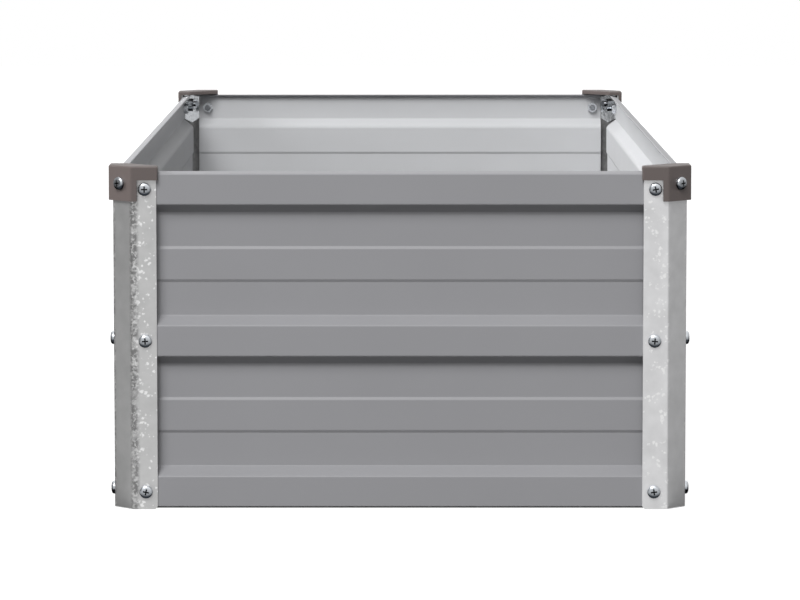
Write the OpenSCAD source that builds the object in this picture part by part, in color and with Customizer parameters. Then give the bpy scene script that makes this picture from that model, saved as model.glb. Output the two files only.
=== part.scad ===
// Raised garden bed: four ribbed sheet panels bolted to four folded corner posts, with a moulded
// cap over each corner. X runs across the ends, Y along the bed and Z up from the ground.
// A corner is drawn once, at the front left: there the outer side plane of the post is X = 0, its
// outer end plane is Y = 0, and both grow into the bed. The other corners are its mirror images.

/* [Bed] */
// Width of the bed across its corner posts
bed_w = 400; // [300:10:1200]
// Length of the bed along its corner posts
bed_l = 1000; // [400:10:2400]

/* [Panels] */
// Height of a panel
panel_h = 236.5; // [190:0.5:420]
// Thickness of the panel sheet
panel_t = 0.6; // [0.4:0.1:1]
// Height of each flat band that stands out and takes the screws
band_h = 21; // [16:0.5:26]
// Number of recesses between the bands
recess_count = 2; // [1:1:2]
// Depth of a recess behind the bands
recess_d = 8.4; // [3:0.1:9]
// Height of the slope from a band to a recess
slope_h = 6.5; // [3:0.5:9]
// Height of the flat of the stiffening rib in a recess
rib_h = 21; // [8:0.5:24]
// How far the rib stands out of its recess
rib_d = 1; // [0.6:0.1:2.4]
// Height of the bevels above and below the rib
rib_bevel_h = 2; // [1:0.1:2.6]
// Height of the edge that leans inward above and below the bands
lip_h = 1.8; // [1.5:0.1:4]
// Depth of the edge that leans inward
lip_d = 5.6; // [4.5:0.1:7]
// Length of the hem, the strip of the lip that is folded back flat inside
hem_len = 4; // [2:0.1:4]
// Radius of the middle of the sheet in a bend
panel_bend_r = 1.2; // [0.8:0.1:1.4]

/* [Corner posts] */
// Thickness of the post sheet
post_t = 1; // [0.8:0.1:1.5]
// Width of the corner that the chamfer takes off, along each side
post_chamfer = 13.5; // [12:0.5:24]
// Width of the flange on each side of the chamfer
flange_w = 17.3; // [15:0.1:30]
// Distance from a bend of the post to its panel screws
screw_from_bend = 9.2; // [8.8:0.1:10]
// Height of the post above the top of the panels
post_over = 0.5; // [0.2:0.1:2]
// Radius of the middle of the sheet in a post's bend
post_bend_r = 1.5; // [1:0.1:2]
// Size of the corner cut off at a flange's foot
foot_cut = 2; // [1:0.1:3]

/* [Corner caps] */
// How far a cap stands out from the post's flanges
cap_proud = 3; // [2.4:0.1:4]
// Width of the corner that the cap's chamfer takes off
cap_chamfer = 16.4; // [16:0.1:17]
// Length of an arm from the cap's outer side to the arm's end
cap_arm = 35; // [30:0.5:60]
// Width of the end of an arm
cap_arm_w = 11.1; // [8:0.1:16]
// Thickness of the cap's top
cap_top_t = 3.2; // [2:0.1:4]
// Height of the leg that hangs down over the chamfer
cap_leg_h = 24.4; // [20:0.2:36]
// Rounding of the cap's upper edges
cap_round = 1.2; // [0.6:0.1:1.8]

/* [Backing plates] */
// Thickness of a backing plate
plate_t = 1.5; // [1:0.1:2.5]
// Width of the flat wing past each bend of a backing plate
plate_wing = 0.2; // [0.1:0.1:3]
// Height of a backing plate down to its point
plate_h = 26; // [22:0.5:60]
// Height of the pointed end of a backing plate
plate_point_h = 3.7; // [0.5:0.1:6]

/* [Fasteners] */
// Diameter of the screws
screw_d = 5; // [4:0.1:5.4]
// Length of a panel screw under its head
panel_screw_len = 10; // [8:0.5:12]
// Length of a cap screw under its head
cap_screw_len = 12; // [11:0.5:14]
// Diameter of a screw head
head_d = 9.2; // [8:0.1:10]
// Height of a screw head
head_h = 3; // [2.2:0.1:4]
// Width of a nut across its flats
nut_flats = 8; // [7:0.1:9]
// Height of a nut
nut_h = 4; // [3:0.1:4.5]

/* [Hidden] */
// Running values that all pieces share.
overrun = 1;          // how far a cut passes the faces it opens
sheet_gap = 0.1;      // between two sheets that are bolted together
hole_gap = 0.25;      // between a screw and its hole, all round
thread_gap = 0.05;    // between a screw and the bore of its nut, all round
cap_gap = 0.2;        // between a cap and its post
leg_gap = 0.7;        // between a cap's leg and the nearest screw head
arm_gap = 1.7;        // between a cap's arm and the screw head below it
plate_end_gap = 0.2;  // between a backing plate and the ends of the panels
plate_top_gap = 0.4;  // between a backing plate and the cap's top
plate_inner_r = 0.2;  // inside of a backing plate's bend
hem_gap = 0.1;        // inside a flattened hem
lip_bend_r = 0.8;     // middle of the sheet, where a lip bends off its band
cap_bend_r = 2.5;     // rounding of the cap's chamfer bends
cap_end_r = 1;        // rounding of the outer corners of an arm's end
cap_inner_r = 2;      // rounding of the inner corners of an arm's end
slice = 0.01;         // thickness of the layers that a rounded edge is hulled from
bend_steps = 4;       // flats that a bend is drawn with
round_steps = 3;      // layers in the cap's rounded edge
$fn = 48;

// Cross recess of a screw head and the shape of the head, as parts of its size.
head_rim_share = 0.3;
head_power_share = 0.75;
head_steps = 7;
cross_len_share = 0.5;
cross_end_share = 0.22;
cross_w_share = 0.13;
cross_depth_share = 0.72;
tip_bevel_share = 0.12;
nut_bevel_share = 0.16;

// Where one sheet lies behind another, counted in from the post's outer face.
panel_in = post_t + sheet_gap;
plate_in = post_t + sheet_gap;
plate_middle = plate_in + plate_t / 2;
plate_bend_r = plate_inner_r + plate_t / 2;
plate_end = post_chamfer + (plate_middle + plate_bend_r) * tan(22.5) + plate_wing;
panel_end = plate_end + plate_end_gap;
screw_in = post_chamfer + screw_from_bend;
post_h = panel_h + post_over;
cap_under = post_h;
cap_top = cap_under + cap_top_t;
band_pitch = (panel_h - 2 * lip_h - band_h) / recess_count;
band_heights = [for (i = [0:recess_count]) lip_h + band_h / 2 + i * band_pitch];
cap_screw_h = cap_top - cap_leg_h / 2;
cap_leg_end = screw_in - head_d / 2 - leg_gap;
cap_arm_under = band_heights[recess_count] + head_d / 2 + arm_gap;
cap_chamfer_in = (cap_chamfer - 2 * cap_proud) / 2;

// The four corners: whether each is at the right, and whether it is at the back.
FRONT_LEFT = [false, false];
FRONT_RIGHT = [true, false];
BACK_LEFT = [false, true];
BACK_RIGHT = [true, true];

// Bent sheet: a route is a list of [x, y, bend radius] corners along the middle of the sheet.
// travel() turns it into [[x, y], heading] stations, with a fan of headings round each corner, and
// sheet() gives the outline of a sheet of thickness t that follows it.
function heading(a, b) = atan2(b[1] - a[1], b[0] - a[0]);
function left_of(h) = [-sin(h), cos(h)];
function turn_between(h1, h2) = let(d = h2 - h1) d > 180 ? d - 360 : d < -180 ? d + 360 : d;
function flat(p) = [p[0], p[1]];
function corner_stations(p, h1, turn) =
    let(side = turn > 0 ? 1 : -1,
        back = p[2] * tan(abs(turn) / 2),
        centre = flat(p) - back * [cos(h1), sin(h1)] + side * p[2] * left_of(h1))
    [for (k = [0:bend_steps]) let(h = h1 + turn * k / bend_steps)
        [centre - side * p[2] * left_of(h), h]];
function travel(route) =
    let(last = len(route) - 1)
    concat(
        [[flat(route[0]), heading(route[0], route[1])]],
        [for (i = [1:last - 1])
            let(h1 = heading(route[i - 1], route[i]), h2 = heading(route[i], route[i + 1]))
            each corner_stations(route[i], h1, turn_between(h1, h2))],
        [[flat(route[last]), heading(route[last - 1], route[last])]]);
function sheet(route, t) =
    let(stations = travel(route), last = len(stations) - 1)
    concat(
        [for (s = stations) s[0] - t / 2 * left_of(s[1])],
        [for (i = [0:last]) let(s = stations[last - i]) s[0] + t / 2 * left_of(s[1])]);
function outline(route) = [for (s = travel(route)) s[0]];

// The plan of a folded corner piece: side flange, chamfer and end flange, seen from above. The
// middle of its sheet lies depth behind the post's outer faces, and reach is where its flanges end.
function corner_route(depth, reach, r) =
    let(bend = post_chamfer + depth * tan(22.5))
    [[depth, reach], [depth, bend, r], [bend, depth, r], [reach, depth]];

// The section of a panel, as [depth behind its outer face, height, bend radius].
function recess_route(base) =
    let(face = panel_t / 2, back = face + recess_d, r = panel_bend_r,
        top = base + band_pitch, middle = base + (band_h + band_pitch) / 2)
    [[face, base + band_h, r],
     [back, base + band_h + slope_h, r],
     [back, middle - rib_h / 2 - rib_bevel_h, r],
     [back - rib_d, middle - rib_h / 2, r],
     [back - rib_d, middle + rib_h / 2, r],
     [back, middle + rib_h / 2 + rib_bevel_h, r],
     [back, top - slope_h, r],
     [face, top, r]];
function lip_route() =
    let(face = panel_t / 2, edge = [face + lip_d, face], root = [face, lip_h],
        along = (edge - root) / norm(edge - root), inward = [-along[1], along[0]],
        fold = panel_t + hem_gap, r = fold / 2)
    [edge + fold * inward - hem_len * along,
     concat(edge + fold * inward, r),
     concat(edge, r),
     concat(root, lip_bend_r)];
function upside_down(route) =
    [for (i = [len(route) - 1:-1:0])
        let(p = route[i], r = p[2])
        is_undef(r) ? [p[0], panel_h - p[1]] : [p[0], panel_h - p[1], r]];
function panel_route() =
    concat(
        lip_route(),
        [for (i = [0:recess_count - 1]) each recess_route(lip_h + i * band_pitch)],
        upside_down(lip_route()));

// A panel stands on the ground with its outer face on the X axis and its depth along Y.
module panel(length) {
    hole_x = length / 2 - (screw_in - panel_end);
    difference() {
        rotate([90, 0, 90])
            translate([0, 0, -length / 2])
                linear_extrude(length) polygon(sheet(panel_route(), panel_t));
        for (x = [-hole_x, hole_x], z = band_heights)
            translate([x, -overrun, z])
                rotate([-90, 0, 0]) cylinder(d = screw_d + 2 * hole_gap, h = panel_t + 2 * overrun);
    }
}
module end_panel() {
    color("#929294") translate([0, panel_in - bed_l / 2, 0]) panel(bed_w - 2 * panel_end);
}
module side_panel() {
    color("#929294")
        translate([panel_in - bed_w / 2, 0, 0]) rotate([0, 0, -90]) panel(bed_l - 2 * panel_end);
}

// Placing: a corner's pieces are moved out to it, and what sits on both flanges of a post is drawn
// on the end flange and mirrored onto the side flange.
module at_corner(corner) {
    if (corner[0]) mirror([1, 0, 0]) at_corner([false, corner[1]]) children();
    else if (corner[1]) mirror([0, 1, 0]) at_corner([false, false]) children();
    else translate([-bed_w / 2, -bed_l / 2, 0]) children();
}
module on_both_flanges() {
    children();
    mirror([1, -1, 0]) children();
}
// On the end flange at a panel screw, with +Z pointing out of the bed.
module at_panel_screws() {
    on_both_flanges()
        for (z = band_heights)
            translate([screw_in, 0, z]) rotate([90, 0, 0]) children();
}
// On the chamfer at the cap screw, with +Z pointing out of the bed, from the cap's outer face.
module at_cap_screw() {
    translate([cap_chamfer_in, cap_chamfer_in, cap_screw_h]) rotate([90, 0, -45]) children();
}

// A hole for a screw, through all that lies at its place.
module screw_hole(depth) {
    translate([0, 0, -depth]) cylinder(d = screw_d + 2 * hole_gap, h = depth + overrun);
}

module corner_post(corner) {
    reach = post_chamfer + flange_w;
    color("#c8c9cb") at_corner(corner)
        difference() {
            linear_extrude(post_h)
                polygon(sheet(corner_route(post_t / 2, reach, post_bend_r), post_t));
            at_panel_screws() screw_hole(panel_in);
            at_cap_screw() screw_hole(screw_in);
            on_both_flanges()
                translate([reach, -overrun, 0])
                    rotate([-90, 0, 0]) linear_extrude(post_t + 2 * overrun)
                        polygon([[-foot_cut, overrun], [-foot_cut, 0], [0, -foot_cut],
                                 [overrun, -foot_cut], [overrun, overrun]]);
        }
}

// The cap's plan from the outer faces of the post, grown or shrunk by an inset from its rim.
function cap_plan(inset) =
    let(near = inset - cap_proud,
        far = cap_arm - cap_proud - inset,
        bend = cap_chamfer - cap_proud + inset * tan(22.5),
        arm = cap_arm_w - cap_proud - inset * tan(22.5),
        middle = (far + arm) / 2)
    outline([
        [middle, middle],
        [arm, far, cap_inner_r],
        [near, far, cap_end_r],
        [near, bend, cap_bend_r],
        [bend, near, cap_bend_r],
        [far, near, cap_end_r],
        [far, arm, cap_inner_r],
        [middle, middle]
    ]);
// The moulding before it is hollowed: its plan drawn up to the top, with the upper edge rounded.
module cap_block() {
    hull() {
        translate([0, 0, cap_top - cap_leg_h])
            linear_extrude(cap_leg_h - cap_round) polygon(cap_plan(0));
        for (k = [1:round_steps]) let(a = 90 * k / round_steps)
            translate([0, 0, cap_top - cap_round * (1 - sin(a)) - slice])
                linear_extrude(slice) polygon(cap_plan(cap_round * (1 - cos(a))));
    }
}
module corner_cap(corner) {
    socket = -cap_gap;
    bend = post_chamfer - cap_gap * tan(22.5);
    color("#82776f") at_corner(corner)
        difference() {
            cap_block();
            translate([0, 0, cap_top - cap_leg_h - overrun])
                linear_extrude(cap_leg_h - cap_top_t + overrun)
                    polygon([[socket, bend], [bend, socket], [cap_arm + overrun, socket],
                             [cap_arm + overrun, cap_arm + overrun], [socket, cap_arm + overrun]]);
            on_both_flanges()
                translate([cap_leg_end, -cap_proud - overrun, cap_top - cap_leg_h - overrun])
                    cube([cap_arm, cap_arm, cap_arm_under - cap_top + cap_leg_h + overrun]);
            at_cap_screw() screw_hole(screw_in);
        }
}

module backing_plate(corner) {
    top = cap_under - plate_top_gap;
    half = post_chamfer / sqrt(2);
    color("#c4c6c8") at_corner(corner)
        difference() {
            translate([0, 0, top - plate_h])
                linear_extrude(plate_h)
                    polygon(sheet(corner_route(plate_middle, plate_end, plate_bend_r), plate_t));
            translate([post_chamfer / 2, post_chamfer / 2, top - plate_h])
                rotate([90, 0, -45]) translate([0, 0, -post_chamfer])
                    linear_extrude(2 * post_chamfer)
                        polygon([[0, 0], [half, plate_point_h], [2 * half, plate_point_h],
                                 [2 * half, -overrun], [-2 * half, -overrun],
                                 [-2 * half, plate_point_h], [-half, plate_point_h]]);
            at_cap_screw() screw_hole(screw_in);
        }
}

// A screw with its head's seat at Z = 0 and its point at Z = -length.
module screw(length) {
    rim = head_h * head_rim_share;
    bevel = screw_d * tip_bevel_share;
    cross = head_d * cross_len_share;
    depth = head_h * cross_depth_share;
    dome = [for (k = [0:head_steps]) let(a = 90 * k / head_steps)
        [head_d / 2 * pow(cos(a), head_power_share), rim + (head_h - rim) * pow(sin(a), head_power_share)]];
    difference() {
        rotate_extrude()
            polygon(concat(
                [[0, -length], [screw_d / 2 - bevel, -length], [screw_d / 2, bevel - length],
                 [screw_d / 2, 0], [head_d / 2, 0]],
                dome));
        for (turn = [0, 90])
            rotate([90, 0, turn]) translate([0, 0, -head_d * cross_w_share / 2])
                linear_extrude(head_d * cross_w_share)
                    polygon([[-cross / 2, head_h + overrun], [-cross / 2, head_h],
                             [-cross * cross_end_share, head_h - depth],
                             [cross * cross_end_share, head_h - depth],
                             [cross / 2, head_h], [cross / 2, head_h + overrun]]);
    }
}
// A nut with its seat at Z = 0, standing down from it.
module nut() {
    corners = nut_flats / cos(30);
    bevel = nut_h * nut_bevel_share;
    difference() {
        intersection() {
            translate([0, 0, -nut_h]) cylinder(d = corners, h = nut_h, $fn = 6);
            rotate_extrude()
                polygon([[0, 0], [corners / 2 - bevel, 0], [corners / 2, -bevel],
                         [corners / 2, bevel - nut_h], [corners / 2 - bevel, -nut_h], [0, -nut_h]]);
        }
        translate([0, 0, -nut_h - overrun])
            cylinder(d = screw_d + 2 * thread_gap, h = nut_h + 2 * overrun);
    }
}
module panel_screws(corner) {
    color("#b9bcc0") at_corner(corner) at_panel_screws() screw(panel_screw_len);
}
module panel_nuts(corner) {
    color("#b9bcc0") at_corner(corner)
        at_panel_screws() translate([0, 0, -panel_in - panel_t]) nut();
}
module cap_screw(corner) {
    color("#b9bcc0") at_corner(corner) at_cap_screw() screw(cap_screw_len);
}
module cap_nut(corner) {
    cap_wall = post_chamfer / sqrt(2) - cap_chamfer_in * sqrt(2);
    color("#b9bcc0") at_corner(corner)
        at_cap_screw() translate([0, 0, -cap_wall - plate_in - plate_t]) nut();
}

end_panel();  // front_panel
mirror([0, 1, 0]) end_panel();  // back_panel
side_panel();  // left_panel
mirror([1, 0, 0]) side_panel();  // right_panel
corner_post(FRONT_LEFT);  // post_front_left
corner_post(FRONT_RIGHT);  // post_front_right
corner_post(BACK_LEFT);  // post_back_left
corner_post(BACK_RIGHT);  // post_back_right
corner_cap(FRONT_LEFT);  // cap_front_left
corner_cap(FRONT_RIGHT);  // cap_front_right
corner_cap(BACK_LEFT);  // cap_back_left
corner_cap(BACK_RIGHT);  // cap_back_right
backing_plate(FRONT_LEFT);  // backing_plate_front_left
backing_plate(FRONT_RIGHT);  // backing_plate_front_right
backing_plate(BACK_LEFT);  // backing_plate_back_left
backing_plate(BACK_RIGHT);  // backing_plate_back_right
panel_screws(FRONT_LEFT);  // panel_screws_front_left
panel_screws(FRONT_RIGHT);  // panel_screws_front_right
panel_screws(BACK_LEFT);  // panel_screws_back_left
panel_screws(BACK_RIGHT);  // panel_screws_back_right
panel_nuts(FRONT_LEFT);  // panel_nuts_front_left
panel_nuts(FRONT_RIGHT);  // panel_nuts_front_right
panel_nuts(BACK_LEFT);  // panel_nuts_back_left
panel_nuts(BACK_RIGHT);  // panel_nuts_back_right
cap_screw(FRONT_LEFT);  // cap_screw_front_left
cap_screw(FRONT_RIGHT);  // cap_screw_front_right
cap_screw(BACK_LEFT);  // cap_screw_back_left
cap_screw(BACK_RIGHT);  // cap_screw_back_right
cap_nut(FRONT_LEFT);  // cap_nut_front_left
cap_nut(FRONT_RIGHT);  // cap_nut_front_right
cap_nut(BACK_LEFT);  // cap_nut_back_left
cap_nut(BACK_RIGHT);  // cap_nut_back_right
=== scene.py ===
"""Looks of a raised garden bed of folded and roll-formed sheet steel with moulded corner caps.

Everything is in metres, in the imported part's frame: X across the ends, Y along the bed, Z up.
"""

import math

import bmesh
import bpy
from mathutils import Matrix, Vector


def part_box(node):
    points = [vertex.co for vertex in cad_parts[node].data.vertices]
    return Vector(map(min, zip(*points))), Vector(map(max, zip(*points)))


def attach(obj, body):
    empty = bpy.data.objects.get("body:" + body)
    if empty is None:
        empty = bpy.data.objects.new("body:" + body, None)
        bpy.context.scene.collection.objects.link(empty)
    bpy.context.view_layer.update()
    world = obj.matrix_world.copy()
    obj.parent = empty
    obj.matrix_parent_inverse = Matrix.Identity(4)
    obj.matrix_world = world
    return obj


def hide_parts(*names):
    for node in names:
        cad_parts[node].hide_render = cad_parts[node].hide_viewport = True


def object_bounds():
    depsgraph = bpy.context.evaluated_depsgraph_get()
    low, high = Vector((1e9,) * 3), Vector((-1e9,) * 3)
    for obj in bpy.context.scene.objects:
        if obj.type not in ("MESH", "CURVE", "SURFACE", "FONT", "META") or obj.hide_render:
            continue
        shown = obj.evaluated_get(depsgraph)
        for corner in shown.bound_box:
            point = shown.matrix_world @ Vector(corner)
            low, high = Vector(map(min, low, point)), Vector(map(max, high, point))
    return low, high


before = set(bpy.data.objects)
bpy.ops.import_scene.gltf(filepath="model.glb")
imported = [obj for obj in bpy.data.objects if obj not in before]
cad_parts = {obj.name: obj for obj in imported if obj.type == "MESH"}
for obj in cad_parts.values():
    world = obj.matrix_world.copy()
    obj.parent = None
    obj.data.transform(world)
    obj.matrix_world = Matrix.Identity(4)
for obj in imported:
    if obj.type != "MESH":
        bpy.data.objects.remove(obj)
cad_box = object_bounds()
bpy.ops.object.select_all(action="DESELECT")

# The four walls: one strip of pre-painted steel sheet, roll-formed into three flat bands with a
# ribbed recess between each pair, and hemmed along both long edges. A length of it makes each wall,
# with a screw hole at both ends of every band.
MM = 0.001
sheet_t = 0.6 * MM
band_h = 21 * MM
recesses = 2
recess_d = 8.4 * MM
slope_h = 6.5 * MM
rib_h = 21 * MM
rib_d = 1 * MM
rib_bevel_h = 2 * MM
lip_d = 5.6 * MM
lip_h = 1.8 * MM
hem_len = 4 * MM
hem_gap = 0.1 * MM
bend_r = 1.2 * MM
lip_bend_r = 0.8 * MM
hem_slack = 0.999
under_bend_r = 4 * MM
wall_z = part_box("front_panel")[1].z
band_pitch = (wall_z - 2 * lip_h - band_h) / recesses
band_heights = [lip_h + band_h / 2 + i * band_pitch for i in range(recesses + 1)]
hole_r = 2.75 * MM
screw_in = 22.7 * MM
half_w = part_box("post_front_right")[1].x
half_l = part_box("post_back_left")[1].y


def linear(colour):
    """An sRGB hex colour as the linear RGBA that shaders take."""
    parts = [int(colour[i:i + 2], 16) / 255 for i in (1, 3, 5)]
    return tuple(c / 12.92 if c <= 0.04045 else ((c + 0.055) / 1.055) ** 2.4 for c in parts) + (1,)


def new_material(name):
    """An empty material, its Principled shader and the coordinates that its patterns follow."""
    material = bpy.data.materials.new(name)
    material.use_nodes = True
    shader = material.node_tree.nodes["Principled BSDF"]
    place = material.node_tree.nodes.new("ShaderNodeTexCoord").outputs["Object"]
    return material, shader, place


def add_node(owner, kind, sockets, **settings):
    """Adds a node with its settings; each socket gets a value or a link from another socket."""
    node = owner.node_tree.nodes.new(kind)
    for name, value in settings.items():
        setattr(node, name, value)
    for name, value in sockets.items():
        if isinstance(value, bpy.types.NodeSocket):
            owner.node_tree.links.new(value, node.inputs[name])
        else:
            node.inputs[name].default_value = value
    return node


def select_only(piece):
    """Leaves one piece selected, and active for the operators."""
    bpy.ops.object.select_all(action="DESELECT")
    piece.select_set(True)
    bpy.context.view_layer.objects.active = piece


def pick(piece, kind, test):
    """Goes into edit mode and selects only the verts, edges or faces that pass the test."""
    if bpy.context.mode != "EDIT_MESH":
        bpy.context.view_layer.objects.active = piece
        bpy.ops.object.mode_set(mode="EDIT")
    bpy.ops.mesh.select_mode(type={"verts": "VERT", "edges": "EDGE", "faces": "FACE"}[kind])
    bpy.ops.mesh.select_all(action="DESELECT")
    mesh = bmesh.from_edit_mesh(piece.data)
    for element in getattr(mesh, kind):
        element.select_set(test(element))
    mesh.select_flush_mode()
    bmesh.update_edit_mesh(piece.data)


def middle(element):
    """The middle of an edge or a face."""
    return sum((v.co for v in element.verts), Vector()) / len(element.verts)


def folded(angle):
    """A test for the edges where a sheet is folded by this angle."""
    slack = math.radians(4)
    return lambda edge: len(edge.link_faces) == 2 and abs(edge.calc_face_angle() - angle) < slack


def round_folds(piece, angle, radius, segments):
    """Rounds the folds of this angle to a radius, measured to the middle of the sheet."""
    pick(piece, "edges", folded(angle))
    bpy.ops.mesh.bevel(
        offset=radius * math.tan(angle / 2), segments=segments, affect="EDGES", clamp_overlap=False)


def use_modifier(piece, kind, **settings):
    """Adds a modifier with its settings and applies it."""
    if bpy.context.mode != "OBJECT":
        bpy.ops.object.mode_set(mode="OBJECT")
    bpy.context.view_layer.objects.active = piece
    modifier = piece.modifiers.new(kind.lower(), kind)
    for name, value in settings.items():
        setattr(modifier, name, value)
    bpy.ops.object.modifier_apply(modifier=modifier.name)


def cut_away(piece, cutter, operation="DIFFERENCE", finish="INDEX"):
    """Cuts a piece with a closed shape, which is then thrown away."""
    use_modifier(
        piece, "BOOLEAN", object=cutter, operation=operation, solver="EXACT", material_mode=finish)
    bpy.data.objects.remove(cutter)


def drill(piece, spots, radius, depth):
    """Drills round holes; each spot is a place and the turn that lays the drill along the hole."""
    for place, turn in spots:
        bpy.ops.mesh.primitive_cylinder_add(
            vertices=32, radius=radius, depth=2 * depth, location=place, rotation=turn)
        cut_away(piece, bpy.context.object)


def smooth(piece, angle=35):
    """Smooth bends between flat faces, which keep their own direction."""
    select_only(piece)
    bpy.ops.object.shade_smooth_by_angle(angle=math.radians(angle))
    use_modifier(piece, "WEIGHTED_NORMAL", keep_sharp=True)


def settle(piece, name, place, turn=0):
    """Moves a finished piece to its place, turned about Z, and bakes both into its mesh."""
    select_only(piece)
    piece.name = name
    piece.location = place
    piece.rotation_euler = (0, 0, math.radians(turn))
    bpy.ops.object.transform_apply(location=True, rotation=True, scale=True)
    return piece


# Coil coat: polyester enamel baked on the strip before it is rolled, mid grey outside. It is
# smooth and satin, with a faint orange peel that breaks up its reflections.
peel = 1.5 * MM
peel_d = 0.02 * MM
coat_cloud = 60 * MM
satin_coat, shader, place = new_material("satin_coil_coat")
shader.inputs["IOR"].default_value = 1.5
waves = add_node(
    satin_coat, "ShaderNodeTexNoise", {"Vector": place, "Scale": 1 / peel, "Detail": 2})
clouds = add_node(
    satin_coat, "ShaderNodeTexNoise", {"Vector": place, "Scale": 1 / coat_cloud, "Detail": 3})
tone = add_node(
    satin_coat, "ShaderNodeMix",
    {0: clouds.outputs["Fac"], 6: linear("#8b8b8e"), 7: linear("#909093")}, data_type="RGBA")
satin_coat.node_tree.links.new(tone.outputs[2], shader.inputs["Base Color"])
gloss = add_node(
    satin_coat, "ShaderNodeMapRange",
    {"Value": clouds.outputs["Fac"], "To Min": 0.42, "To Max": 0.5})
satin_coat.node_tree.links.new(gloss.outputs["Result"], shader.inputs["Roughness"])
relief = add_node(
    satin_coat, "ShaderNodeBump",
    {"Height": waves.outputs["Fac"], "Distance": peel_d, "Strength": 0.5})
satin_coat.node_tree.links.new(relief.outputs["Normal"], shader.inputs["Normal"])

# Backing coat: the thin pale epoxy wash on the side of the strip that faces the soil. It is
# duller and lighter than the coat outside.
wash_cloud = 45 * MM
wash_coat, shader, place = new_material("pale_backing_coat")
shader.inputs["IOR"].default_value = 1.5
clouds = add_node(
    wash_coat, "ShaderNodeTexNoise", {"Vector": place, "Scale": 1 / wash_cloud, "Detail": 4})
tone = add_node(
    wash_coat, "ShaderNodeMix",
    {0: clouds.outputs["Fac"], 6: linear("#b9babc"), 7: linear("#bebfc1")}, data_type="RGBA")
wash_coat.node_tree.links.new(tone.outputs[2], shader.inputs["Base Color"])
shader.inputs["Roughness"].default_value = 0.7
shader.inputs["Specular IOR Level"].default_value = 0.3


def stand_sheet(width, height, place):
    """A flat upright sheet that faces along Y, with its middle at a place."""
    bpy.ops.mesh.primitive_plane_add(size=1, location=place, rotation=(math.radians(90), 0, 0))
    sheet = bpy.context.object
    sheet.scale = (width, height, 1)
    bpy.ops.object.transform_apply(location=True, rotation=True, scale=True)
    return sheet


def thicken(sheet, thickness, *coats):
    """Gives a folded sheet its thickness and its coats, the outer one first."""
    for coat in coats:
        sheet.data.materials.append(coat)
    use_modifier(
        sheet, "SOLIDIFY", thickness=thickness, offset=0, use_even_offset=True,
        material_offset=len(coats) - 1)


def roll_wall(length):
    """A length of the strip: outer face on the X axis, depth along +Y, standing on Z = 0."""
    face = sheet_t / 2
    flat = (band_pitch - band_h - 2 * slope_h - rib_h - 2 * rib_bevel_h) / 2
    recess = [
        (recess_d, slope_h), (0, flat), (-rib_d, rib_bevel_h), (0, rib_h), (rib_d, rib_bevel_h),
        (0, flat), (-recess_d, slope_h), (0, band_h)]
    lip = Vector((0, lip_d, lip_h - face))
    along = lip.normalized()
    inward = Vector((0, along.z, -along.y))
    hem = [lip, (sheet_t + hem_gap) * inward, -hem_len * along]
    wall = stand_sheet(length, band_h, (0, face, band_heights[0]))
    pick(wall, "edges", lambda edge: middle(edge).z > band_heights[0] + band_h / 3)
    for step in [Vector((0, y, z)) for y, z in recess * recesses] + hem:
        bpy.ops.mesh.extrude_region_move(TRANSFORM_OT_translate={"value": step})
    pick(wall, "edges", lambda edge: middle(edge).z < band_heights[0] - band_h / 3)
    for step in hem:
        bpy.ops.mesh.extrude_region_move(
            TRANSFORM_OT_translate={"value": (step.x, step.y, -step.z)})
    # The bend under each band is the widest.
    slope = math.atan(recess_d / slope_h)
    steep = folded(slope)
    recess_middle = (band_pitch + band_h) / 2
    pick(wall, "edges", lambda edge: (
        steep(edge) and middle(edge).y > face + recess_d / 2
        and (middle(edge).z - lip_h) % band_pitch > recess_middle))
    bpy.ops.mesh.bevel(
        offset=under_bend_r * math.tan(slope / 2), segments=8, affect="EDGES", clamp_overlap=False)
    round_folds(wall, slope, bend_r, 5)
    round_folds(wall, math.atan(rib_d / rib_bevel_h), bend_r, 4)
    round_folds(wall, Vector((0, 0, 1)).angle(along), lip_bend_r, 6)
    # The hem's two bends stop just short of each other.
    round_folds(wall, math.radians(90), (sheet_t + hem_gap) / 2 * hem_slack, 4)
    thicken(wall, sheet_t, satin_coat, wash_coat)
    return wall


for name, node, turn in [
        ("front_wall_sheet", "front_panel", 0), ("right_wall_sheet", "right_panel", 90),
        ("back_wall_sheet", "back_panel", 180), ("left_wall_sheet", "left_panel", 270)]:
    low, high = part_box(node)
    end_wall = turn in (0, 180)
    wall = roll_wall(high.x - low.x if end_wall else high.y - low.y)
    hole_x = (half_w if end_wall else half_l) - screw_in
    spots = [
        ((x, 0, z), (math.radians(90), 0, 0)) for x in (-hole_x, hole_x) for z in band_heights]
    drill(wall, spots, hole_r, 3 * sheet_t)
    out = max(high.y, -low.y) if end_wall else max(high.x, -low.x)
    facing = Vector((math.sin(math.radians(turn)), -math.cos(math.radians(turn)), 0))
    settle(wall, name, out * facing, turn)
    smooth(wall)
    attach(wall, "root")
    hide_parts(node)

# The four corner posts: galvanised steel sheet 1 mm thick, folded twice at 45 degrees into two
# flanges and a chamfer, with the flanges' feet cropped. Screws go through both flanges, and the
# cap's screw through the chamfer.
post_t = 1 * MM
post_chamfer = 13.5 * MM
flange_w = 17.3 * MM
post_bend_r = 1.5 * MM
foot_cut = 2 * MM
burr = 0.15 * MM
cap_screw_z = 228 * MM
post_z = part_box("post_front_left")[1].z
half_fold = math.tan(math.radians(45 / 2))
corners = {"front_left": 0, "front_right": 90, "back_right": 180, "back_left": 270}
end_flange = (math.radians(90), 0, 0)
side_flange = (0, math.radians(-90), 0)
chamfer_face = (math.radians(90), 0, math.radians(-45))
panel_screw_spots = [
    spot for z in band_heights
    for spot in (((screw_in, 0, z), end_flange), ((0, screw_in, z), side_flange))]


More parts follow.
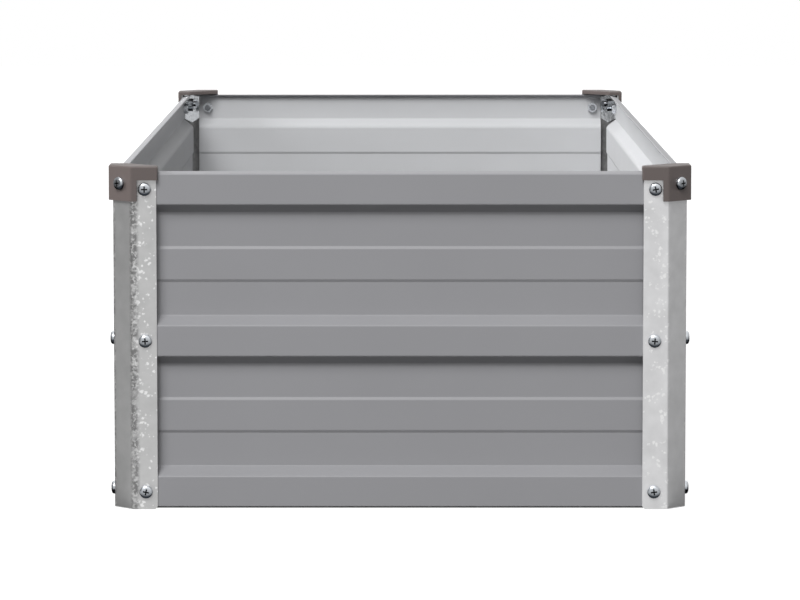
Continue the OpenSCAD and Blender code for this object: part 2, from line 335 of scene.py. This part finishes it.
def fold_corner(depth, reach, low, high):
    """A sheet folded round a corner at the origin, its middle this far in from the outer faces."""
    bend = post_chamfer + depth * half_fold
    corner = stand_sheet(reach - bend, high - low, ((bend + reach) / 2, depth, (low + high) / 2))
    pick(corner, "edges", lambda edge: middle(edge).x < bend + (reach - bend) / 4)
    for step in [(depth - bend, bend - depth, 0), (0, reach - bend, 0)]:
        bpy.ops.mesh.extrude_region_move(TRANSFORM_OT_translate={"value": step})
    return corner


def soften(piece, width, angle):
    """Rounds a little each edge that is sharper than this angle."""
    use_modifier(
        piece, "BEVEL", width=width, segments=2, limit_method="ANGLE",
        angle_limit=math.radians(angle))


def set_at_corners(piece, name, node):
    """Copies a piece modelled at the origin to the four corners, each copy with its own mesh."""
    for corner, turn in corners.items():
        select_only(piece)
        bpy.ops.object.duplicate()
        x = half_w if "right" in corner else -half_w
        y = half_l if "back" in corner else -half_l
        copy = settle(bpy.context.object, name + "_" + corner, (x, y, 0), turn)
        smooth(copy)
        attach(copy, "root")
        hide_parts(node + "_" + corner)
    bpy.data.objects.remove(piece)


# Hot-dip zinc: a dull grey skin of fine crystals, with small light flecks that lie thickest by
# the folds. Where the sheet was folded, the skin of the left posts is crazed light and dark.
fleck = 3.4 * MM
swarm_w = 6 * MM
zinc_cloud = 11 * MM
craze = 2.2 * MM
craze_w = 5.5 * MM
craze_d = 0.25 * MM
fade_w = 2 * MM
wear_w = 9 * MM
dipped_zinc, shader, place = new_material("hot_dip_zinc")
shader.inputs["Metallic"].default_value = 0.8
shader.inputs["Roughness"].default_value = 0.45
axes = add_node(dipped_zinc, "ShaderNodeSeparateXYZ", {"Vector": place})
from_corner = []
for axis, half in (("X", half_w), ("Y", half_l)):
    out = add_node(dipped_zinc, "ShaderNodeMath", {0: axes.outputs[axis]}, operation="ABSOLUTE")
    back = add_node(
        dipped_zinc, "ShaderNodeMath", {0: half, 1: out.outputs[0]}, operation="SUBTRACT")
    from_corner.append(back.outputs[0])
further = add_node(
    dipped_zinc, "ShaderNodeMath", {0: from_corner[0], 1: from_corner[1]}, operation="MAXIMUM")
along = further.outputs[0]
# The posts on the left get a darker skin than those on the right.
leftness = add_node(
    dipped_zinc, "ShaderNodeMapRange", {
        "Value": axes.outputs["X"], "From Min": -half_w / 2, "From Max": half_w / 2,
        "To Min": 1, "To Max": 0})
grains = add_node(
    dipped_zinc, "ShaderNodeTexVoronoi",
    {"Vector": place, "Scale": 1 / fleck, "Detail": 1, "Roughness": 0.6})
spread = add_node(
    dipped_zinc, "ShaderNodeMapRange", {
        "Value": along, "From Min": post_chamfer, "From Max": post_chamfer + flange_w,
        "To Min": 0.85, "To Max": 0.55})
swarm = add_node(
    dipped_zinc, "ShaderNodeTexNoise", {"Vector": place, "Scale": 1 / swarm_w, "Detail": 1})
dense = add_node(
    dipped_zinc, "ShaderNodeMapRange",
    {"Value": swarm.outputs["Fac"], "From Min": 0.3, "From Max": 0.6})
reach = add_node(
    dipped_zinc, "ShaderNodeMath", {0: dense.outputs["Result"], 1: spread.outputs["Result"]},
    operation="MULTIPLY")
inside = add_node(
    dipped_zinc, "ShaderNodeMath", {0: reach.outputs[0], 1: grains.outputs["Distance"]},
    operation="SUBTRACT")
flecks = add_node(
    dipped_zinc, "ShaderNodeMapRange",
    {"Value": inside.outputs[0], "From Min": -0.06, "From Max": 0.16})
clouds = add_node(
    dipped_zinc, "ShaderNodeTexNoise", {"Vector": place, "Scale": 1 / zinc_cloud, "Detail": 4})
tones = []
for dark, pale in (("#a4a4a4", "#bebebe"), ("#b8b8b9", "#d4d4d5")):
    tone = add_node(
        dipped_zinc, "ShaderNodeMix",
        {0: clouds.outputs["Fac"], 6: linear(dark), 7: linear(pale)}, data_type="RGBA")
    tones.append(tone.outputs[2])
skin = add_node(
    dipped_zinc, "ShaderNodeMix",
    {0: leftness.outputs["Result"], 6: tones[1], 7: tones[0]}, data_type="RGBA")
before = add_node(
    dipped_zinc, "ShaderNodeMapRange", {
        "Value": along, "From Min": post_chamfer - fade_w, "From Max": post_chamfer})
light = add_node(
    dipped_zinc, "ShaderNodeMath", {0: flecks.outputs["Result"], 1: before.outputs["Result"]},
    operation="MULTIPLY")
spangle = add_node(
    dipped_zinc, "ShaderNodeMix",
    {0: light.outputs[0], 6: skin.outputs[2], 7: linear("#d8d8d8")}, data_type="RGBA")
crazing = add_node(
    dipped_zinc, "ShaderNodeTexNoise",
    {"Vector": place, "Scale": 1 / craze, "Detail": 3, "Distortion": 0.6})
after = add_node(
    dipped_zinc, "ShaderNodeMapRange", {
        "Value": along, "From Min": post_chamfer + craze_w / 2, "From Max": post_chamfer + craze_w,
        "To Min": 1, "To Max": 0})
strip = add_node(
    dipped_zinc, "ShaderNodeMath", {0: before.outputs["Result"], 1: after.outputs["Result"]},
    operation="MULTIPLY")
uneven = add_node(
    dipped_zinc, "ShaderNodeTexNoise", {"Vector": place, "Scale": 1 / wear_w, "Detail": 2})
worn = add_node(
    dipped_zinc, "ShaderNodeMapRange", {
        "Value": uneven.outputs["Fac"], "From Min": 0.35, "From Max": 0.55, "To Min": 0.25})
here = add_node(
    dipped_zinc, "ShaderNodeMath", {0: strip.outputs[0], 1: worn.outputs["Result"]},
    operation="MULTIPLY")
crazed = add_node(
    dipped_zinc, "ShaderNodeMath", {0: here.outputs[0], 1: leftness.outputs["Result"]},
    operation="MULTIPLY")
patches = add_node(
    dipped_zinc, "ShaderNodeMapRange",
    {"Value": crazing.outputs["Fac"], "From Min": 0.45, "From Max": 0.7})
mottle = add_node(
    dipped_zinc, "ShaderNodeMix",
    {0: patches.outputs["Result"], 6: linear("#727272"), 7: linear("#c4c4c4")}, data_type="RGBA")
whole = add_node(
    dipped_zinc, "ShaderNodeMix",
    {0: crazed.outputs[0], 6: spangle.outputs[2], 7: mottle.outputs[2]}, data_type="RGBA")
dipped_zinc.node_tree.links.new(whole.outputs[2], shader.inputs["Base Color"])
relief = add_node(
    dipped_zinc, "ShaderNodeBump",
    {"Height": crazing.outputs["Fac"], "Distance": craze_d, "Strength": crazed.outputs[0]})
dipped_zinc.node_tree.links.new(relief.outputs["Normal"], shader.inputs["Normal"])

# Inside the posts the zinc is painted dark and blotched: painted shade on the inner faces.
inner_zinc_painted_shade, shader, place = new_material("post_inside_painted_shade")
shader.inputs["Metallic"].default_value = 0.6
shader.inputs["Roughness"].default_value = 0.55
blots = add_node(
    inner_zinc_painted_shade, "ShaderNodeTexNoise",
    {"Vector": place, "Scale": 1 / (2 * craze), "Detail": 3, "Distortion": 0.6})
tone = add_node(
    inner_zinc_painted_shade, "ShaderNodeMix",
    {0: blots.outputs["Fac"], 6: linear("#6a6a6a"), 7: linear("#acacac")}, data_type="RGBA")
inner_zinc_painted_shade.node_tree.links.new(tone.outputs[2], shader.inputs["Base Color"])

post = fold_corner(post_t / 2, post_chamfer + flange_w, 0, post_z)
flange_middle = post_chamfer + flange_w / 2
pick(post, "verts", lambda v: v.co.z < post_z / 2 and max(v.co.x, v.co.y) > flange_middle)
bpy.ops.mesh.bevel(offset=foot_cut, segments=1, affect="VERTICES")
round_folds(post, math.radians(45), post_bend_r, 6)
# The inner faces take the painted shade.
thicken(post, post_t, dipped_zinc, inner_zinc_painted_shade)
chamfer_middle = post_chamfer / 2
drill(
    post, panel_screw_spots + [((chamfer_middle, chamfer_middle, cap_screw_z), chamfer_face)],
    hole_r, 3 * post_t)
soften(post, burr, 60)
set_at_corners(post, "folded_post", "post")

# The four backing plates: short pieces of bright galvanised steel folded like the posts, clamped
# behind them by the cap's screw. Their lower end is cut to a blunt point.
plate_t = 1.5 * MM
plate_in = 1.1 * MM
plate_inner_r = 0.2 * MM
plate_point_h = 3.7 * MM
plate_low, plate_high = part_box("backing_plate_front_left")
plate_reach = plate_high.x + half_w

# Bright zinc: the plates keep a smooth, wavy skin from the bath, which glints in patches.
ripple = 2.5 * MM
ripple_d = 0.35 * MM
bright_zinc, shader, place = new_material("bright_zinc_plate")
shader.inputs["Metallic"].default_value = 1
shader.inputs["Base Color"].default_value = linear("#eceeef")
cast = add_node(
    bright_zinc, "ShaderNodeTexNoise", {"Vector": place, "Scale": 1 / ripple, "Detail": 2})
gloss = add_node(
    bright_zinc, "ShaderNodeMapRange",
    {"Value": cast.outputs["Fac"], "To Min": 0.12, "To Max": 0.3})
bright_zinc.node_tree.links.new(gloss.outputs["Result"], shader.inputs["Roughness"])
relief = add_node(
    bright_zinc, "ShaderNodeBump",
    {"Height": cast.outputs["Fac"], "Distance": ripple_d, "Strength": 0.7})
bright_zinc.node_tree.links.new(relief.outputs["Normal"], shader.inputs["Normal"])

plate = fold_corner(
    plate_in + plate_t / 2, plate_reach, plate_low.z + plate_point_h, plate_high.z)
lowest = plate_low.z + 2 * plate_point_h


def low_and_central(co):
    """Whether a place is at the plate's lower end, on the corner's diagonal."""
    return co.z < lowest and abs(co.x - co.y) < MM


pick(plate, "edges", lambda edge: low_and_central(middle(edge)))
bpy.ops.mesh.subdivide(number_cuts=1)
pick(plate, "verts", lambda v: low_and_central(v.co))
bpy.ops.transform.translate(value=(0, 0, -plate_point_h))
round_folds(plate, math.radians(45), plate_inner_r + plate_t / 2, 5)
thicken(plate, plate_t, bright_zinc)
drill(plate, [((chamfer_middle, chamfer_middle, cap_screw_z), chamfer_face)], hole_r, 3 * plate_t)
soften(plate, burr, 60)
set_at_corners(plate, "bent_backing", "backing_plate")

# The four corner caps: injection-moulded polypropylene, brown grey. A flat top covers the ends
# of two walls, a leg hangs over the post's chamfer, and one screw through the leg holds it.
cap_proud = 3 * MM
cap_chamfer = 16.4 * MM
cap_arm = 35 * MM
cap_arm_w = 11.1 * MM
cap_top_t = 3.2 * MM
cap_leg_h = 24.4 * MM
cap_leg_end = 17.4 * MM
cap_arm_under = 230.5 * MM
cap_gap = 0.2 * MM
cap_round = 1.2 * MM
cap_bend_r = 2.5 * MM
cap_end_r = 1 * MM
cap_inner_r = 2 * MM
cap_soft = 0.3 * MM
cap_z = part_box("cap_front_left")[1].z

# Moulded polypropylene: dull and even, with the fine grain of a spark-eroded mould. The grain is
# drawn coarser than the real one, so that it shows at all.
spark = 0.7 * MM
spark_d = 0.05 * MM
moulded, shader, place = new_material("moulded_polypropylene")
shader.inputs["IOR"].default_value = 1.49
shader.inputs["Roughness"].default_value = 0.5
shader.inputs["Base Color"].default_value = linear("#5a5250")
grain = add_node(
    moulded, "ShaderNodeTexNoise", {"Vector": place, "Scale": 1 / spark, "Detail": 2})
relief = add_node(
    moulded, "ShaderNodeBump",
    {"Height": grain.outputs["Fac"], "Distance": spark_d, "Strength": 0.4})
moulded.node_tree.links.new(relief.outputs["Normal"], shader.inputs["Normal"])


def block(low, high):
    """A cube between two opposite corners."""
    low, high = Vector(low), Vector(high)
    bpy.ops.mesh.primitive_cube_add(size=1, location=(low + high) / 2)
    made = bpy.context.object
    made.scale = high - low
    bpy.ops.object.transform_apply(location=True, rotation=True, scale=True)
    return made


def slice_corner(piece, across, keep_outer=False):
    """Cuts a block square to the corner's diagonal, where x + y is across."""
    pick(piece, "faces", lambda face: True)
    bpy.ops.mesh.bisect(
        plane_co=(across / 2, across / 2, 0), plane_no=(1, 1, 0), use_fill=True,
        clear_inner=not keep_outer, clear_outer=keep_outer)
    bpy.ops.object.mode_set(mode="OBJECT")


def upright(edge):
    """Whether an edge stands upright."""
    a, b = (v.co for v in edge.verts)
    return abs(a.z - b.z) > abs(a.x - b.x) + abs(a.y - b.y)


def round_upright(piece, near, radius):
    """Rounds the upright edges that stand at any of these places on the plan."""
    spots = [Vector(spot) for x, y in near for spot in ((x, y), (y, x))]
    pick(piece, "edges", lambda edge: upright(edge) and any(
        (middle(edge).xy - spot).length < MM for spot in spots))
    bpy.ops.mesh.bevel(offset=radius, segments=5, affect="EDGES")


far = cap_arm - cap_proud
arm = cap_arm_w - cap_proud
cap = block((-cap_proud, -cap_proud, cap_z - cap_leg_h), (far, far, cap_z))
slice_corner(cap, cap_chamfer - 2 * cap_proud)
slice_corner(cap, far + arm, keep_outer=True)
round_upright(cap, [(cap_chamfer - cap_proud, -cap_proud)], cap_bend_r * half_fold)
round_upright(cap, [(far, -cap_proud)], cap_end_r)
round_upright(cap, [(far, arm)], cap_inner_r * half_fold)
pick(cap, "faces", lambda face: face.normal.z > 0.9)
bpy.ops.mesh.region_to_loop()
bpy.ops.mesh.bevel(offset=cap_round, segments=4, affect="EDGES")
bpy.ops.object.mode_set(mode="OBJECT")
socket = block((-cap_gap, -cap_gap, cap_z - 2 * cap_leg_h), (2 * far, 2 * far, cap_z - cap_top_t))
slice_corner(socket, post_chamfer - cap_gap * (1 + half_fold))
cut_away(cap, socket)
for reach in (cap_leg_end, -2 * far), (-2 * far, cap_leg_end):
    cut_away(cap, block((*reach, cap_z - 2 * cap_leg_h), (2 * far, 2 * far, cap_arm_under)))
drill(cap, [((chamfer_middle, chamfer_middle, cap_screw_z), chamfer_face)], hole_r, post_chamfer)
cap.data.materials.append(moulded)
soften(cap, cap_soft, 50)
set_at_corners(cap, "moulded_cover", "cap")

# The screws: M5 pan heads with a cross recess, cold-headed, thread-rolled and zinc-plated. Six
# fasten two walls to each post, and a longer one goes through each cap.
screw_r = 2.5 * MM
pitch = 0.8 * MM
thread_d = 0.45 * MM
head_r = 4.6 * MM
head_h = 3 * MM
head_rim = 0.9 * MM
dome_angles = range(12, 90, 13)
dome_power = 0.75
thread_start = head_rim / 4
cross_l = 6.2 * MM
cross_w = 1.5 * MM
cross_d = 2.1 * MM
cross_taper = (0.45, 0.4, 1)
weld = 0.01 * MM
panel_screw_l = 10 * MM
cap_screw_l = 12 * MM
cap_chamfer_in = 5.2 * MM

# Bright zinc plate on a polished head, with one hard highlight. Its colour is painted shade: dark
# on the underside of each dome, pale on top. The haze in its shine is drawn coarser than the real
# one.
haze_w = 1.5 * MM
plating_with_painted_shade, shader, place = new_material("bright_zinc_plating")
shader.inputs["Metallic"].default_value = 1
facing = add_node(plating_with_painted_shade, "ShaderNodeNewGeometry", {})
upward = add_node(plating_with_painted_shade, "ShaderNodeSeparateXYZ", {"Vector": facing.outputs["Normal"]})
# Painted shade: dark where the surface faces down, pale where it faces up.
bright = add_node(
    plating_with_painted_shade, "ShaderNodeMapRange", {"Value": upward.outputs["Z"], "From Min": -0.3, "From Max": 0.4})
tone = add_node(
    plating_with_painted_shade, "ShaderNodeMix",
    {0: bright.outputs["Result"], 6: linear("#2e3238"), 7: linear("#dde1e6")}, data_type="RGBA")
plating_with_painted_shade.node_tree.links.new(tone.outputs[2], shader.inputs["Base Color"])
haze = add_node(
    plating_with_painted_shade, "ShaderNodeTexNoise", {"Vector": place, "Scale": 1 / haze_w, "Detail": 3})
gloss = add_node(
    plating_with_painted_shade, "ShaderNodeMapRange", {"Value": haze.outputs["Fac"], "To Min": 0.22, "To Max": 0.3})
plating_with_painted_shade.node_tree.links.new(gloss.outputs["Result"], shader.inputs["Roughness"])

# The cross is painted dark and dull: painted shade in the recess.
stain_w = 0.8 * MM
cross_painted_shade, shader, place = new_material("cross_recess_painted_shade")
shader.inputs["Metallic"].default_value = 1
shader.inputs["Roughness"].default_value = 0.5
stain = add_node(
    cross_painted_shade, "ShaderNodeTexNoise", {"Vector": place, "Scale": 1 / stain_w, "Detail": 2})
tone = add_node(
    cross_painted_shade, "ShaderNodeMix",
    {0: stain.outputs["Fac"], 6: linear("#26282b"), 7: linear("#3a3d41")}, data_type="RGBA")
cross_painted_shade.node_tree.links.new(tone.outputs[2], shader.inputs["Base Color"])


def rod(sides, radius, low, high):
    """A prism of this many sides round Z, between two heights."""
    bpy.ops.mesh.primitive_cylinder_add(vertices=sides, radius=radius, depth=high - low)
    return settle(bpy.context.object, "rod", (0, 0, (low + high) / 2))


def make_screw(length):
    """A screw with its seat at Z = 0, its head above and its thread below."""
    bpy.ops.mesh.primitive_plane_add(size=1)
    thread = bpy.context.object
    pick(thread, "verts", lambda v: v.co.x > 0)
    bpy.ops.mesh.delete(type="VERT")
    bpy.ops.mesh.select_all(action="SELECT")
    bpy.ops.mesh.subdivide(number_cuts=1)
    bpy.ops.object.mode_set(mode="OBJECT")
    # One tooth of the thread's profile: the middle point is its crest, the ends are its root.
    for vertex in thread.data.vertices:
        crest = abs(vertex.co.y) < 0.25
        vertex.co = Vector((
            screw_r if crest else screw_r - thread_d, 0, vertex.co.y * pitch - length - pitch))
    use_modifier(
        thread, "SCREW", angle=math.tau, screw_offset=pitch, iterations=round(length / pitch) + 3,
        steps=20, render_steps=20)
    pick(thread, "faces", lambda face: True)
    bpy.ops.mesh.remove_doubles(threshold=weld)
    # It is cut flat at the tip and just under the head.
    for height, outer in ((-length, False), (-thread_start, True)):
        pick(thread, "faces", lambda face: True)
        bpy.ops.mesh.bisect(
            plane_co=(0, 0, height), plane_no=(0, 0, 1), use_fill=True,
            clear_inner=not outer, clear_outer=outer)
    pick(thread, "faces", lambda face: True)
    bpy.ops.mesh.normals_make_consistent(inside=False)
    bpy.ops.object.mode_set(mode="OBJECT")
    screw = rod(40, head_r, 0, head_rim)
    pick(screw, "faces", lambda face: face.normal.z > 0.9)
    radius, height = 1, head_rim
    for angle in dome_angles:
        wider = math.cos(math.radians(angle)) ** dome_power
        higher = head_rim + (head_h - head_rim) * math.sin(math.radians(angle)) ** dome_power
        bpy.ops.mesh.extrude_region_move(TRANSFORM_OT_translate={"value": (0, 0, higher - height)})
        bpy.ops.transform.resize(
            value=(wider / radius, wider / radius, 1), center_override=(0, 0, higher))
        radius, height = wider, higher
    bpy.ops.object.mode_set(mode="OBJECT")
    screw.data.materials.append(plating_with_painted_shade)
    thread.data.materials.append(plating_with_painted_shade)
    cut_away(screw, thread, "UNION")
    for turn in (0, 90):
        wing = block(
            (-cross_l / 2, -cross_w / 2, head_h - cross_d),
            (cross_l / 2, cross_w / 2, head_h + cross_d))
        pick(wing, "faces", lambda face: face.normal.z < -0.9)
        bpy.ops.transform.resize(value=cross_taper, center_override=(0, 0, 0))
        bpy.ops.object.mode_set(mode="OBJECT")
        # The cross's faces take the painted shade.
        wing.data.materials.append(cross_painted_shade)
        settle(wing, "cross_cutter", (0, 0, 0), turn)
        cut_away(screw, wing, finish="TRANSFER")
    return screw


def lay_out(piece, spots, twists):
    """Copies a fastener to each spot, turned about its own axis, and joins the copies."""
    copies = []
    for (place, turn), twist in zip(spots, twists):
        select_only(piece)
        bpy.ops.object.duplicate()
        copy = settle(bpy.context.object, "fastener", (0, 0, 0), twist)
        copy.rotation_euler = turn
        copy.location = place
        bpy.ops.object.transform_apply(location=True, rotation=True, scale=True)
        copies.append(copy)
    bpy.ops.object.select_all(action="DESELECT")
    for copy in copies:
        copy.select_set(True)
    bpy.context.view_layer.objects.active = copies[0]
    if len(copies) > 1:
        bpy.ops.object.join()
    bpy.data.objects.remove(piece)
    return copies[0]


twists = [-12, 8, 3, -5, 0, 10]
screws = lay_out(make_screw(panel_screw_l), panel_screw_spots, twists)
set_at_corners(screws, "pan_head_screws", "panel_screws")
cap_spot = ((cap_chamfer_in, cap_chamfer_in, cap_screw_z), chamfer_face)
screws = lay_out(make_screw(cap_screw_l), [cap_spot], [6])
set_at_corners(screws, "cover_screw", "cap_screw")

# The nuts: plain M5 hexagons, zinc-plated like the screws, tightened against the inside of the
# walls and of the backing plates.
nut_flats = 8 * MM
nut_h = 4 * MM
nut_bevel = 0.64 * MM
bore_r = 2.55 * MM
panel_stack = 1.7 * MM
cap_stack = post_chamfer / math.sqrt(2) - cap_chamfer_in * math.sqrt(2) + plate_in + plate_t

# Blue-white zinc plating, a little hazier than on the screws.
blue_plated, shader, place = new_material("blue_zinc_plating")
shader.inputs["Metallic"].default_value = 1
shader.inputs["Base Color"].default_value = linear("#e2e5e9")
haze = add_node(
    blue_plated, "ShaderNodeTexNoise", {"Vector": place, "Scale": 1 / haze_w, "Detail": 3})
gloss = add_node(
    blue_plated, "ShaderNodeMapRange",
    {"Value": haze.outputs["Fac"], "To Min": 0.22, "To Max": 0.34})
blue_plated.node_tree.links.new(gloss.outputs["Result"], shader.inputs["Roughness"])


def make_nut():
    """A nut with its seat at Z = 0, standing down from it."""
    corner_r = nut_flats / 2 / math.cos(math.radians(30))
    nut = rod(6, corner_r, -nut_h, 0)
    turned = rod(48, corner_r, -nut_h, 0)
    pick(turned, "faces", lambda face: abs(face.normal.z) > 0.9)
    bpy.ops.mesh.region_to_loop()
    bpy.ops.mesh.bevel(offset=nut_bevel, segments=1, affect="EDGES")
    bpy.ops.object.mode_set(mode="OBJECT")
    cut_away(nut, turned, "INTERSECT")
    drill(nut, [((0, 0, -nut_h / 2), (0, 0, 0))], bore_r, nut_h)
    nut.data.materials.append(blue_plated)
    return nut


def sunk(spot, depth):
    """The same spot, this far further into the bed."""
    place, turn = spot
    inward = {end_flange: (0, 1, 0), side_flange: (1, 0, 0), chamfer_face: (1, 1, 0)}[turn]
    return Vector(place) + depth * Vector(inward).normalized(), turn


nuts = lay_out(make_nut(), [sunk(spot, panel_stack) for spot in panel_screw_spots], twists)
set_at_corners(nuts, "hexagon_nuts", "panel_nuts")
nuts = lay_out(make_nut(), [sunk(cap_spot, cap_stack)], [0])
set_at_corners(nuts, "cover_nut", "cap_nut")

# The studio: a floor that shows white, with the bed's faint shadow, to the camera and to shiny
# metal. It is dull to all other light, so that the undersides stay dark. The world round it shows
# white in the same way.
floor_size = 12
floor_glow = 0.96
room_level = 0.24


def shown(owner):
    """A socket that is 1 for rays from the camera and from shiny or clear surfaces."""
    rays = add_node(owner, "ShaderNodeLightPath", {})
    seen = add_node(
        owner, "ShaderNodeMath",
        {0: rays.outputs["Is Camera Ray"], 1: rays.outputs["Is Glossy Ray"]}, operation="ADD")
    either = add_node(
        owner, "ShaderNodeMath",
        {0: seen.outputs[0], 1: rays.outputs["Is Transmission Ray"]}, operation="ADD")
    return either.outputs[0]


def cleared(owner):
    """The same material or world, with no nodes."""
    owner.use_nodes = True
    owner.node_tree.nodes.clear()
    return owner


bpy.ops.mesh.primitive_plane_add(size=floor_size, location=(0, 0, 0))
floor = bpy.context.object
floor.name = "studio_floor"
floor_paint = cleared(bpy.data.materials.new("floor_paint"))
glow = add_node(floor_paint, "ShaderNodeEmission", {"Strength": floor_glow})
pale = add_node(floor_paint, "ShaderNodeBsdfDiffuse", {"Color": linear("#696969")})
both = add_node(floor_paint, "ShaderNodeAddShader", {0: glow.outputs[0], 1: pale.outputs[0]})
dull = add_node(floor_paint, "ShaderNodeBsdfDiffuse", {"Color": linear("#454545")})
choice = add_node(
    floor_paint, "ShaderNodeMixShader",
    {0: shown(floor_paint), 1: dull.outputs[0], 2: both.outputs[0]})
add_node(floor_paint, "ShaderNodeOutputMaterial", {"Surface": choice.outputs[0]})
floor.data.materials.append(floor_paint)

world = cleared(bpy.data.worlds.new("studio"))
bpy.context.scene.world = world
level = add_node(
    world, "ShaderNodeMapRange", {"Value": shown(world), "To Min": room_level, "To Max": 1})
background = add_node(
    world, "ShaderNodeBackground",
    {"Color": linear("#ffffff"), "Strength": level.outputs["Result"]})
add_node(world, "ShaderNodeOutputWorld", {"Surface": background.outputs[0]})

# Six square soft lamps. Each is given by the way its light travels, its distance, size and power,
# and the place it aims at. The two low ones light the long outer sides, and the walls keep them
# out of the bed. Only the key shows in shiny metal.
bed_middle = (0, 0, 0.12)
low_middle = (0, 0, 0.06)
for name, travel, distance, size, power, target in [
        ("key_softbox", (2.4, 5.4, -6), 9, 3.4, 430, bed_middle),
        ("side_softbox", (1, 0.1, -0.45), 4, 1.6, 142, (0, 0.5, 0.12)),
        ("front_softbox", (0.1, 1, -0.7), 6, 2.4, 170, bed_middle),
        ("right_softbox", (-1, -0.35, -0.03), 4, 0.4, 75, low_middle),
        ("left_softbox", (1, 0.05, -0.03), 4, 0.4, 50, low_middle),
        ("back_softbox", (0.1, -1, -0.22), 5, 0.8, 110, bed_middle)]:
    direction = Vector(travel).normalized()
    data = bpy.data.lights.new(name, "AREA")
    data.shape = "SQUARE"
    data.size = size
    data.energy = power
    lamp = bpy.data.objects.new(name, data)
    bpy.context.scene.collection.objects.link(lamp)
    lamp.location = Vector(target) - distance * direction
    lamp.rotation_euler = direction.to_track_quat("-Z", "Y").to_euler()
    lamp.visible_glossy = name == "key_softbox"

# Two grey cards stand beside the bed, and a dark one lies on the floor, under the bed and beyond
# its sides. Only shiny surfaces see them, and they give the metal the darker sides that a white
# room wouldn't.
for name, colour, size, spot, lean in [
        ("left_card", "#989898", (1.6, 2.4), (-0.9, -0.2, 0.8), 90),
        ("right_card", "#d0d0d0", (1.6, 2.4), (0.9, -0.2, 0.8), 90),
        ("low_card", "#484848", (1.8, 1), (0, 0, 0.0005), 0)]:
    bpy.ops.mesh.primitive_plane_add(size=1, location=spot, rotation=(0, math.radians(lean), 0))
    card = bpy.context.object
    card.scale = (*size, 1)
    bpy.ops.object.transform_apply(location=True, rotation=True, scale=True)
    card.name = name
    paint = cleared(bpy.data.materials.new(name + "_paint"))
    glow = add_node(paint, "ShaderNodeEmission", {"Color": linear(colour)})
    add_node(paint, "ShaderNodeOutputMaterial", {"Surface": glow.outputs[0]})
    card.data.materials.append(paint)
    card.visible_camera = False
    card.visible_diffuse = False
    card.visible_shadow = False
    card.visible_transmission = False

# The camera: a long lens, a little above the bed and square to its end, tilted down without a
# shift, so that other views of the bed stay centred.
focal_px = 4338
frame_px = 800
film_w = 36
tilt = 5.804
data = bpy.data.cameras.new("camera")
camera = bpy.data.objects.new("camera", data)
bpy.context.scene.collection.objects.link(camera)
bpy.context.scene.camera = camera
data.sensor_width = film_w
data.lens = focal_px / frame_px * data.sensor_width
camera.location = (0, -3.501, 0.452)
camera.rotation_euler = (math.radians(90 - tilt), 0, 0)
data.clip_end = 50

bpy.context.scene.view_settings.view_transform = "Standard"
low, high = cad_box
